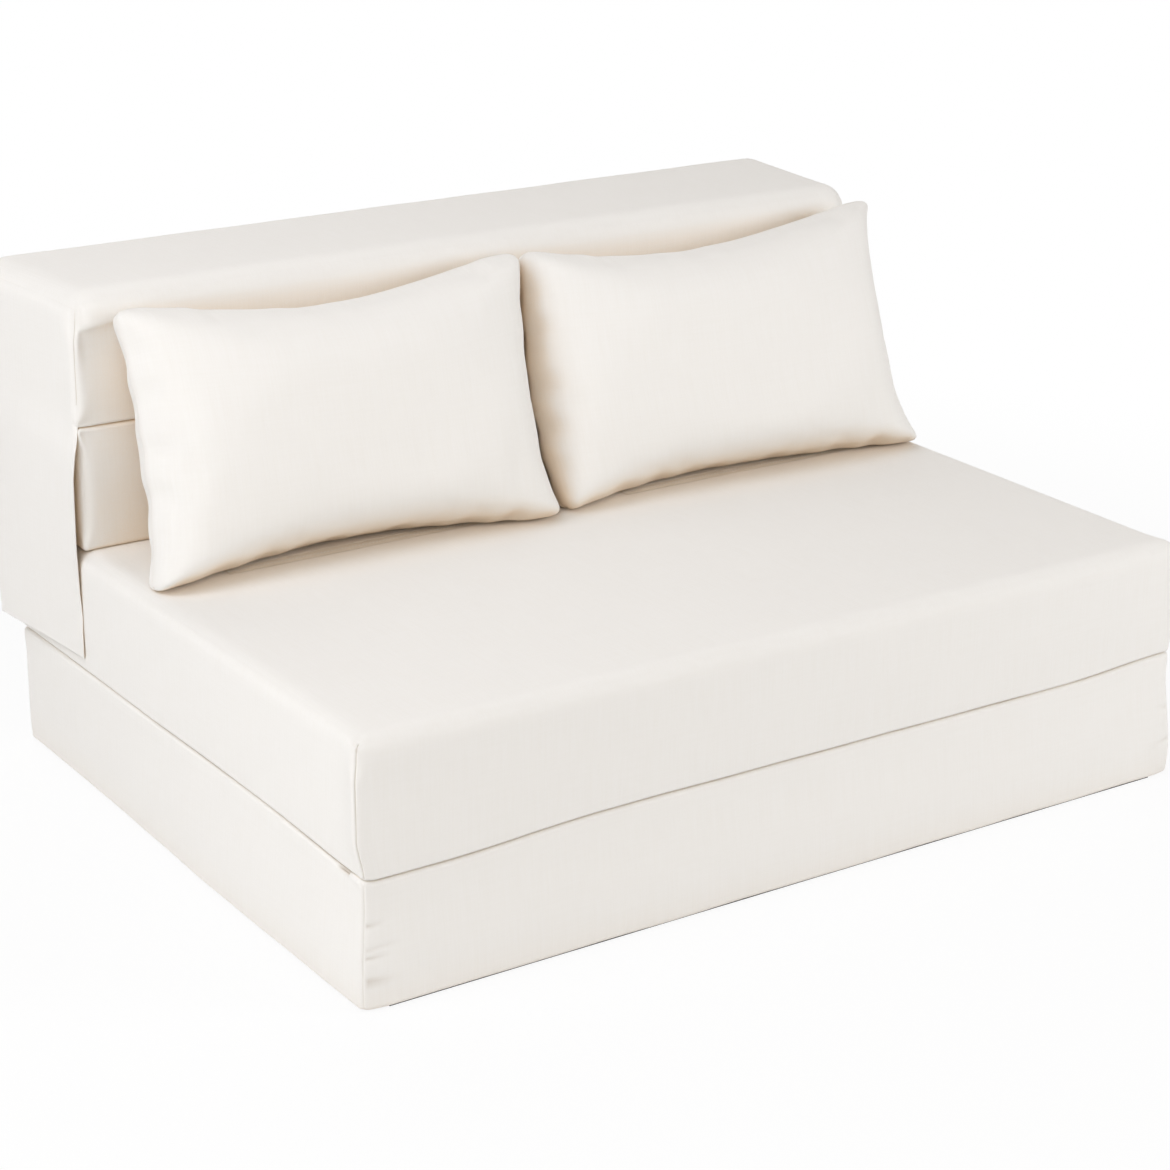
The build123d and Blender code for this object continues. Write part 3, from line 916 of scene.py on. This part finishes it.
def foam_core(node, body, radii, trim=(0.0, 0.0, 0.0), form=None):
    """A foam block in its node's place, a little clear of its cover. trim cuts it back."""
    low, high = node_box(node)
    low, high = low + FOAM_CLEARANCE + trim, high - FOAM_CLEARANCE - trim
    points, quads, flats = box_lattice(high - low, (FOAM_STEP,) * 3)
    shape, out = rounded(points, high - low, *radii)
    shape = shape + low + out * (0.0003 * ripple(points, 0.2, 51) - 0.0006)[:, None]
    if form is not None:
        shape = form(shape)
    piece = cloth_mesh(f"{node}_core", shape, quads, flats, 0.0, foam_finish, body, node)
    print(piece.name, "faces", len(quads))


foam_core("base_foam", "base", (0.012, 0.008, 0.010, 0.034), SLAB_TRIM, full_foot)
foam_core("seat_foam", "seat", (0.012, 0.024, 0.008), SLAB_TRIM, seam_line)
foam_core("head_foam", "head", (0.020, 0.008, 0.008))
foam_core("hood_foam", "hood", (0.020, 0.038, 0.008), (CAP_INSET + 0.001, 0.009, 0.001))
foam_core("hood_rear_pad", "hood", (0.006, 0.006, 0.006), (0.004, 0.0, 0.008))
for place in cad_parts["hood_rear_board"].material_slots:
    place.material = board_finish

# %% [markdown]
# ## Pillows
#
# A pillow is two flat panels sewn together round their edge and stuffed. The stuffing pushes the
# middle out, which draws the four sides in and leaves the corners as small ears. Blender's cloth
# solver makes this shape from the flat panels: a pressure inside, no gravity, and cloth that
# hardly stretches. The result is scaled to the pillow's size, laid in its place, and pressed flat
# where it leans on the seat and on the back.

# %% Two flat panels sewn together
PILLOW_SIZE = np.array([0.584, 0.338, 0.188])
PANEL_CUT = (0.630, 0.385)
PANEL_TAPER = (0.035, 0.09)
PANEL_CELLS = (80, 50)
CORNER_BLUNT = 0.018
CORNER_BODY = 1.2
PILLOW_FRAMES = 16
RELAX_ROUNDS = 3
STUFFING = {
    "quality": 6, "mass": 0.25,
    "tension_stiffness": 30, "compression_stiffness": 0.5,
    "shear_stiffness": 3, "bending_stiffness": 4,
    "tension_damping": 12, "compression_damping": 12,
    "shear_damping": 12, "bending_damping": 1.5, "air_damping": 3,
    "use_pressure": True, "uniform_pressure_force": 5.0,
}


def pillow_panels(cut, taper, cells):
    """Points, quads and flat coordinates of two panels that share their outer edge.

    The panels are cut with slightly bowed sides, so that the corners don't stand out far.
    """
    columns, rows = cells[0] + 1, cells[1] + 1
    marks = np.linspace(-1, 1, columns), np.linspace(-1, 1, rows)
    share_x, share_y = np.meshgrid(*marks, indexing="ij")
    rise = 0.012 * (1 - share_x**2) * (1 - share_y**2)
    flat_x = share_x * cut[0] / 2 * (1 - taper[0] * share_y**2)
    flat_y = share_y * cut[1] / 2 * (1 - taper[1] * share_x**2)
    flat = np.stack([flat_x, flat_y], -1)
    edge = (np.abs(share_x) > 1 - 1e-9) | (np.abs(share_y) > 1 - 1e-9)
    front_number = np.arange(columns * rows).reshape(columns, rows)
    back_number = np.where(edge, front_number, -1)
    back_number[~edge] = columns * rows + np.arange((~edge).sum())
    front = np.dstack([flat, rise]).reshape(-1, 3)
    back = np.dstack([flat, -rise])[~edge]
    points = np.concatenate([front, back])
    quads = np.concatenate([grid_quads(front_number), grid_quads(back_number, turned=True)])
    flats, shares = (
        np.concatenate([grid.reshape(-1, 2), grid[~edge]])
        for grid in (flat, np.stack([share_x, share_y], -1))
    )
    border = np.concatenate([edge.ravel(), np.zeros((~edge).sum(), bool)])
    front_side = np.arange(len(points)) < columns * rows
    return points, quads, flats, shares, border, front_side


def inflate(points, quads):
    """Runs the cloth solver on the panels and returns the stuffed points."""
    mesh = bpy.data.meshes.new("pillow_trial")
    mesh.from_pydata(points.tolist(), [], quads.tolist())
    trial = add_object("pillow_trial", mesh)
    cloth = trial.modifiers.new("stuffing", "CLOTH")
    for key, value in STUFFING.items():
        setattr(cloth.settings, key, value)
    cloth.settings.effector_weights.gravity = 0
    cloth.collision_settings.use_collision = False
    cloth.collision_settings.use_self_collision = False
    cloth.point_cache.frame_start = 1
    cloth.point_cache.frame_end = PILLOW_FRAMES
    for number in range(1, PILLOW_FRAMES + 1):
        bpy.context.scene.frame_set(number)
    made = trial.evaluated_get(bpy.context.evaluated_depsgraph_get())
    shape = np.empty(len(points) * 3, dtype=np.float32)
    made.to_mesh().vertices.foreach_get("co", shape)
    made.to_mesh_clear()
    bpy.data.objects.remove(trial)
    bpy.data.meshes.remove(mesh)
    bpy.context.scene.frame_set(1)
    return shape.reshape(-1, 3).astype(float)


def relax(points, quads, border, rounds):
    """Evens out the cloth: each point moves halfway to the middle of its neighbours."""
    pairs = np.concatenate([quads[:, [k, (k + 1) % 4]] for k in range(4)])
    pairs = np.concatenate([pairs, pairs[:, ::-1]])
    pairs = pairs[~(border[pairs[:, 0]] & ~border[pairs[:, 1]])]
    count = np.bincount(pairs[:, 0], minlength=len(points))[:, None]
    for _ in range(rounds):
        total = np.zeros_like(points)
        np.add.at(total, pairs[:, 0], points[pairs[:, 1]])
        points = points + 0.5 * (total / count - points)
    return points


panel_points, panel_quads, panel_flats, panel_shares, panel_border, panel_front = pillow_panels(
    PANEL_CUT, PANEL_TAPER, PANEL_CELLS
)
stuffed = inflate(panel_points, panel_quads)
stuffed = relax(stuffed, panel_quads, panel_border, RELAX_ROUNDS)
print("stuffed size", np.ptp(stuffed, axis=0).round(4))


# %% Laying a pillow in its place
def pillow_axes(yaw, lean):
    """Directions along the pillow, up the pillow and out of its front."""
    along = np.array([cos(yaw), sin(yaw), 0.0])
    out = np.array([sin(yaw) * cos(lean), -cos(yaw) * cos(lean), sin(lean)])
    return along, np.cross(out, along), out


def press(points, axis, limit, side, softness):
    """Presses points that pass a plane flat against it, with a soft turn. side is the free side."""
    over = (limit - points[:, axis]) * side
    moved = softness * np.log1p(np.exp(np.clip(over / softness, -40, 40)))
    result = points.copy()
    result[:, axis] += moved * side
    return result


KNOTS = np.array([-1.0, -0.5, 0.0, 0.5, 1.0])


def along_seam(values, shares, across, end, places):
    """A value of the seam along one side, read at some places. across and end pick the side."""
    near = np.abs(shares[:, across] - end) < 1e-9
    order = np.argsort(shares[near, 1 - across])
    return np.interp(places, shares[near, 1 - across][order], values[near][order])


def blunt_corners(local, shares):
    """Draws the corners in and gives them some body, as stuffing that fills them does."""
    u, v = np.abs(shares[:, 0]), np.abs(shares[:, 1])
    near = u**9 * v**6
    moved = local.copy()
    moved[:, :2] -= np.sign(shares) * (CORNER_BLUNT * near)[:, None]
    moved[:, 2] *= 1 + CORNER_BODY * u**5 * v**4
    return moved


def fit_outline(local, shares, outline):
    """Moves the stuffed shape so that its seams stand at the outline's knots on all four sides."""
    moved = blunt_corners(local, shares)
    for side, across, end in (("lower", 1, -1), ("upper", 1, 1), ("left", 0, -1), ("right", 0, 1)):
        gap = np.array(outline[side]) - along_seam(moved[:, across], shares, across, end, KNOTS)
        shift = np.polyval(np.polyfit(KNOTS, gap, 4), shares[:, 1 - across])
        moved[:, across] += shift * (1 + end * shares[:, across]) / 2
    return moved


SIGHT_LINE = np.array([0.678, 1.0, -0.443])


def tuck_under(place, shares, floor):
    """Slides the lower seam back along the line of sight until it meets the seat."""
    rise = along_seam(place[:, 2], shares, 1, -1, shares[:, 0]) - floor
    weight = ((1 - shares[:, 1]) / 2) ** 3
    return place - np.outer(rise / SIGHT_LINE[2] * weight, SIGHT_LINE)


def fold(local, front, start, end, depth, width):
    """Depth of a soft fold in the front panel, from start to end in the pillow's own plane."""
    plane = local.copy()
    plane[:, 2] = 0.0
    return np.where(front, pucker(plane, (*start, 0), (*end, 0), depth, width), 0.0)


SLUMP = 0.012
SEAT_GAP = 0.0006
BACK_GAP = 0.0020


def lay_pillow(shape, pillow, shrink):
    """Scales the stuffed shape, fits its outline, and puts it on the seat against the back."""
    centred = shape - (shape.max(0) + shape.min(0)) / 2
    local = centred * (PILLOW_SIZE / np.ptp(centred, axis=0))
    local = fit_outline(local, panel_shares, pillow["outline"])
    plump = np.abs(local[:, 2]) / (PILLOW_SIZE[2] / 2)
    local[:, 1] -= SLUMP * plump**1.5
    local[:, 2] += fold(local, panel_front, *pillow["fold"])
    local *= 1 - 2 * shrink / PILLOW_SIZE
    along, up, out = pillow_axes(pillow["yaw"], pillow["lean"])
    middle = np.array(pillow["origin"]) + up * PILLOW_SIZE[1] / 2
    place = middle + local @ np.stack([along, up, out])
    rest = seat_high[2] + SEAT_GAP + shrink
    place = tuck_under(place, panel_shares, rest + 0.0015)
    place = press(place, 2, rest, 1, 0.003)
    return press(place, 1, cap_low[1] - BACK_GAP - shrink, -1, 0.010)


def pillow_piece(body, part, pillow, shrink, finish):
    """One closed pillow form at its place."""
    name, node = f"{body}_{part}_form", f"{body}_{part}"
    place = lay_pillow(stuffed, pillow, shrink)
    # Painted shade along the seam round the pillow's edge.
    seam = np.where(panel_border, 0.12, 0.0)
    flats = panel_flats[panel_quads]
    piece = cloth_mesh(name, place, panel_quads, flats, seam, finish, body, node)
    rounder = piece.modifiers.new("rounder", "SUBSURF")
    rounder.levels = rounder.render_levels = 1
    print(name, "low", place.min(0).round(4), "high", place.max(0).round(4))


PILLOWS = {
    "left_pillow": {
        "origin": (-0.2795, 0.0671463, 0.320838),
        "yaw": radians(0.8),
        "lean": radians(19.5),
        "outline": {
            "lower": (-0.166, -0.161, -0.156, -0.170, -0.174),
            "upper": (0.159, 0.154, 0.140, 0.153, 0.157),
            "left": (-0.300, -0.290, -0.281, -0.281, -0.281),
            "right": (0.284, 0.268, 0.264, 0.276, 0.288),
        },
        "fold": ((-0.150, 0.150), (-0.118, 0.128), 0.006, 0.009),
    },
    "right_pillow": {
        "origin": (0.308, 0.0636209, 0.320844),
        "yaw": radians(-1.0),
        "lean": radians(20.5),
        "outline": {
            "lower": (-0.174, -0.163, -0.161, -0.168, -0.168),
            "upper": (0.160, 0.147, 0.141, 0.157, 0.164),
            "left": (-0.286, -0.311, -0.311, -0.302, -0.284),
            "right": (0.297, 0.264, 0.257, 0.264, 0.284),
        },
        "fold": ((0.262, 0.150), (0.236, 0.020), 0.007, 0.016),
    },
}
for body_name, pillow in PILLOWS.items():
    pillow_piece(body_name, "cover", pillow, 0.0, cover_cloth)
    pillow_piece(body_name, "ticking", pillow, 0.0016, ticking_finish)
    pillow_piece(body_name, "filling", pillow, 0.0029, fibre_finish)

# %% [markdown]
# ## Zips
#
# Each cover closes with a zip, so it can be washed: a woven tape, a chain of interlocked teeth
# and a slider with a small pull. They are set into the rear faces of the slabs and the head
# block, into the hem of the hood's rear panel and into the pillows' lower seams, out of sight.

# %% Nylon chain and zip helpers
def moulded_nylon(name, light, deep):
    """Cream moulded nylon with a soft gloss and faint flow marks."""
    finish, tree = new_finish(name)
    flow = noise(tree, object_place(tree), 320.0, 3.0)
    return surface(finish, tint(tree, flow, light, deep, 0.35, 0.7), 0.45, flow, 0.3, 0.0002)


nylon_finish = moulded_nylon("zip_nylon_cream", (0.84, 0.81, 0.75), (0.78, 0.74, 0.67))
TAPE_HALF_PROFILE = [
    (0.0110, 0.0), (0.0107, 0.0005), (0.0080, 0.0007),
    (0.0034, 0.0007), (0.0028, 0.0004), (0.0, 0.0004),
]
TOOTH_PITCH = 0.0025
TOOTH_HALF = 0.0009
STOP_HALF = 0.0012
BLOCK_FACES = ((0, 3, 2, 1), (4, 5, 6, 7), (0, 1, 5, 4), (1, 2, 6, 5), (2, 3, 7, 6), (3, 0, 4, 7))


def add_block(points, faces, low, high, taper):
    """Adds a small block to a mesh's points and faces. Its outer face is drawn in by taper."""
    start = len(points)
    for out, inset in ((low[2], 0.0), (high[2], taper)):
        for along, across in ((0, 0), (1, 0), (1, 1), (0, 1)):
            x = (low[0] + inset, high[0] - inset)[along]
            y = (low[1] + inset, high[1] - inset)[across]
            points.append((x, y, out))
    faces += [tuple(start + k for k in face) for face in BLOCK_FACES]


def node_middle(name):
    """The middle of a node's box."""
    return sum(node_box(name)) / 2


def zip_strip(body, ways, axis, level, height=1.0):
    """A zip's woven tape with its chain. ways are the directions along, across and out.

    It keeps its node's place, apart from one axis that sets it level with the cloth.
    """
    name, node = f"{body}_zip_strip", f"{body}_zip_tape"
    ways = np.array(ways, float)
    low, high = node_box(node)
    middle = node_middle(node)
    middle[axis] = level
    length = float(np.abs((high - low) @ ways[0]))
    profile = TAPE_HALF_PROFILE + [(-w, n) for w, n in TAPE_HALF_PROFILE[-2::-1]]
    wide = len(profile)
    rows = np.linspace(-length / 2, length / 2, max(3, round(length / 0.01)))
    points = [(along, w, n * height) for along in rows for w, n in profile]
    last = (len(rows) - 1) * wide
    quads = grid_quads(np.arange(len(points)).reshape(len(rows), wide))
    faces = quads.tolist() + [tuple(range(wide)), tuple(reversed(range(last, last + wide)))]
    tape_faces = len(faces)
    for number, along in enumerate(np.arange(0.004 - length / 2, length / 2 - 0.004, TOOTH_PITCH)):
        reach = (-0.0006, 0.0023) if number % 2 else (-0.0023, 0.0006)
        tooth_low = (along - TOOTH_HALF, reach[0], 0.0003 * height)
        tooth_high = (along + TOOTH_HALF, reach[1], 0.0014 * height)
        add_block(points, faces, tooth_low, tooth_high, 0.0003)
    for end in (0.003 - length / 2, length / 2 - 0.003):
        stop_high = (end + STOP_HALF, 0.0028, 0.0019 * height)
        add_block(points, faces, (end - STOP_HALF, -0.0028, 0.0), stop_high, 0.0005)
    local = np.array(points)
    flats = [local[k, :2] for face in faces for k in face]
    finishes = [tape_finish, nylon_finish]
    piece = new_piece(name, middle + local @ ways, faces, finishes, body, node, flats)
    numbers = [0] * tape_faces + [1] * (len(faces) - tape_faces)
    piece.data.polygons.foreach_set("material_index", numbers)
    piece.data.update()
    print(name, "teeth", (len(faces) - tape_faces) // 6 - 2, "length", round(length, 3))


SLIDER_PARTS = (
    ((-1.0, -1.0, -1.0), (1.0, 1.0, -0.35), 0.0009),
    ((-0.55, -0.28, -0.5), (0.35, 0.28, 1.0), 0.0006),
    ((-0.35, -0.55, 0.35), (-0.05, 0.55, 0.8), 0.0003),
    ((-0.30, 0.30, 0.30), (0.30, 3.1, 0.62), 0.0003),
)


def zip_slider(body, ways, rise=0.0):
    """A slider: two plates, a bridge and a short pull. ways are as for the strip."""
    node = f"{body}_zip_slider"
    ways = np.array(ways, float)
    low, high = node_box(node)
    half = np.abs(ways @ (high - low)) / 2
    points, faces = [], []
    for start, end, taper in SLIDER_PARTS:
        add_block(points, faces, start * half, end * half, taper)
    places = node_middle(node) + (0.0, 0.0, rise) + np.array(points) @ ways
    name = f"{body}_zip_pull"
    piece = new_piece(name, places, faces, [metal_finish], node, node)
    edge = piece.modifiers.new("soft_edges", "BEVEL")
    edge.width = 0.0004
    edge.segments = 2


# %% Zips of the covers and the pillows
REAR_WAYS = ((1, 0, 0), (0, 0, -1), (0, 1, 0))
UNDER_WAYS = ((1, 0, 0), (0, -1, 0), (0, 0, -1))
REAR_LEVEL = 0.4290
HEM_LEVEL = 0.1782
for body_name in ("base", "seat", "head"):
    zip_strip(body_name, REAR_WAYS, 1, REAR_LEVEL)
    zip_slider(body_name, REAR_WAYS)
zip_strip("hood", UNDER_WAYS, 2, HEM_LEVEL)
zip_slider("hood", UNDER_WAYS, -0.0006)
for body_name in PILLOWS:
    zip_strip(body_name, UNDER_WAYS, 2, seat_high[2] + 0.0007, 0.5)
    seam_level = seat_high[2] + SEAT_GAP
    zip_slider(body_name, UNDER_WAYS, seam_level - node_middle(f"{body_name}_zip_slider")[2])

# %% [markdown]
# ## Floor, light and background
#
# The sofa stands on a white floor that runs into a white background, with only a faint shadow at
# its foot. Three soft lamps on the left light the side panels most, the strongest one stands in
# front on the right and evens out the front panels, one hangs overhead and one stands behind. For
# the camera the floor is mostly its own white, and the small rest is lit, so it still takes the
# shadow.

# %% Floor and background
FLOOR_HALF = 14.0
FLOOR_OWN_LIGHT = 0.9
floor_mesh = bpy.data.meshes.new("studio_floor")
corners = [(x * FLOOR_HALF, y * FLOOR_HALF, 0) for x, y in ((-1, -1), (1, -1), (1, 1), (-1, 1))]
floor_mesh.from_pydata(corners, [], [(0, 1, 2, 3)])
studio_floor = add_object("studio_floor", floor_mesh)
studio_floor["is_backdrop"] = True


def seen_directly(tree):
    """1 for rays of the camera, of gloss and of clear materials, otherwise 0."""
    path = add_node(tree, "LightPath")
    seen = math_node(tree, "MAXIMUM", path.outputs["Is Camera Ray"], path.outputs["Is Glossy Ray"])
    return math_node(tree, "MAXIMUM", seen, path.outputs["Is Transmission Ray"])


def white_floor(name, own_light):
    """A floor that is mostly white by itself when seen, and takes a faint shadow near the sofa."""
    finish, tree = new_finish(name)
    shader = own_node(tree, "BSDF_PRINCIPLED")
    shader.inputs["Base Color"].default_value = (0.86, 0.86, 0.86, 1)
    shader.inputs["Roughness"].default_value = 0.9
    glow = add_node(tree, "Emission", Color=(1, 1, 1, 1), Strength=1.0)
    reach = add_node(tree, "VectorMath", {"operation": "LENGTH"}, i0=object_place(tree))
    own = ranged(tree, reach.outputs["Value"], 0.9, 2.0, own_light, 1.0, "SMOOTHSTEP")
    share = times(tree, seen_directly(tree), own)
    mix = add_node(tree, "MixShader", Fac=share, i1=shader.outputs[0], i2=glow.outputs[0])
    tree.links.new(mix.outputs[0], own_node(tree, "OUTPUT_MATERIAL").inputs["Surface"])
    return finish


floor_mesh.materials.append(white_floor("studio_floor_white", FLOOR_OWN_LIGHT))

AMBIENT = 0.30
AMBIENT_WARMTH = (1.0, 0.93, 0.85)
world = bpy.data.worlds.new("studio_light")
bpy.context.scene.world = world
world.use_nodes = True
sky = world.node_tree
background = own_node(sky, "BACKGROUND")
own_white = times(sky, seen_directly(sky), 1.0 - AMBIENT)
feed(sky, background.inputs["Strength"], math_node(sky, "ADD", own_white, AMBIENT))
warmth = blend(sky, seen_directly(sky), AMBIENT_WARMTH, (1, 1, 1))
feed(sky, background.inputs["Color"], warmth)


# %% Lamps
def soft_lamp(name, place, target, size, watts, colour=(1.0, 1.0, 1.0)):
    """A square lamp that points at the target."""
    light = bpy.data.lights.new(name, "AREA")
    light.shape = "RECTANGLE"
    light.size, light.size_y = size
    light.energy = watts
    light.color = colour
    lamp = add_object(name, light)
    way = Vector(target) - Vector(place)
    lamp.location = place
    lamp.rotation_euler = way.to_track_quat("-Z", "Y").to_euler()


LAMPS = {
    "left_lamp": ((-3.8, -0.3, 1.5), (0, 0, 0.3), (2.4, 2.4), 23.9, (0.965, 1.0, 1.03)),
    "low_left_lamp": ((-3.6, -1.6, 0.8), (0, -0.2, 0.3), (1.6, 1.6), 13.2, (0.965, 1.0, 1.03)),
    "high_left_lamp": ((-2.2, -2.8, 2.8), (0, 0, 0.3), (2.0, 2.0), 24.7, (1.0, 0.95, 0.87)),
    "front_lamp": ((2.8, -3.0, 1.8), (0, 0, 0.3), (2.0, 2.0), 79.0, (0.97, 0.99, 1.02)),
    "overhead_lamp": ((-2.2, -0.4, 3.2), (0, 0, 0.3), (2.0, 2.0), 47.0, (0.98, 1.0, 1.06)),
    "rear_lamp": ((0.5, 2.5, 3.0), (0, 0, 0.3), (2.4, 2.4), 27.0),
}
for lamp_name, setting in LAMPS.items():
    soft_lamp(lamp_name, *setting)
bpy.context.scene.view_settings.view_transform = "Standard"

# %% Size of the model and of the dressed scene
visual_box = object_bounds()
for box_name, box in (("cad", model_box), ("visual", visual_box)):
    print(box_name, [[round(v, 4) for v in corner] for corner in box])
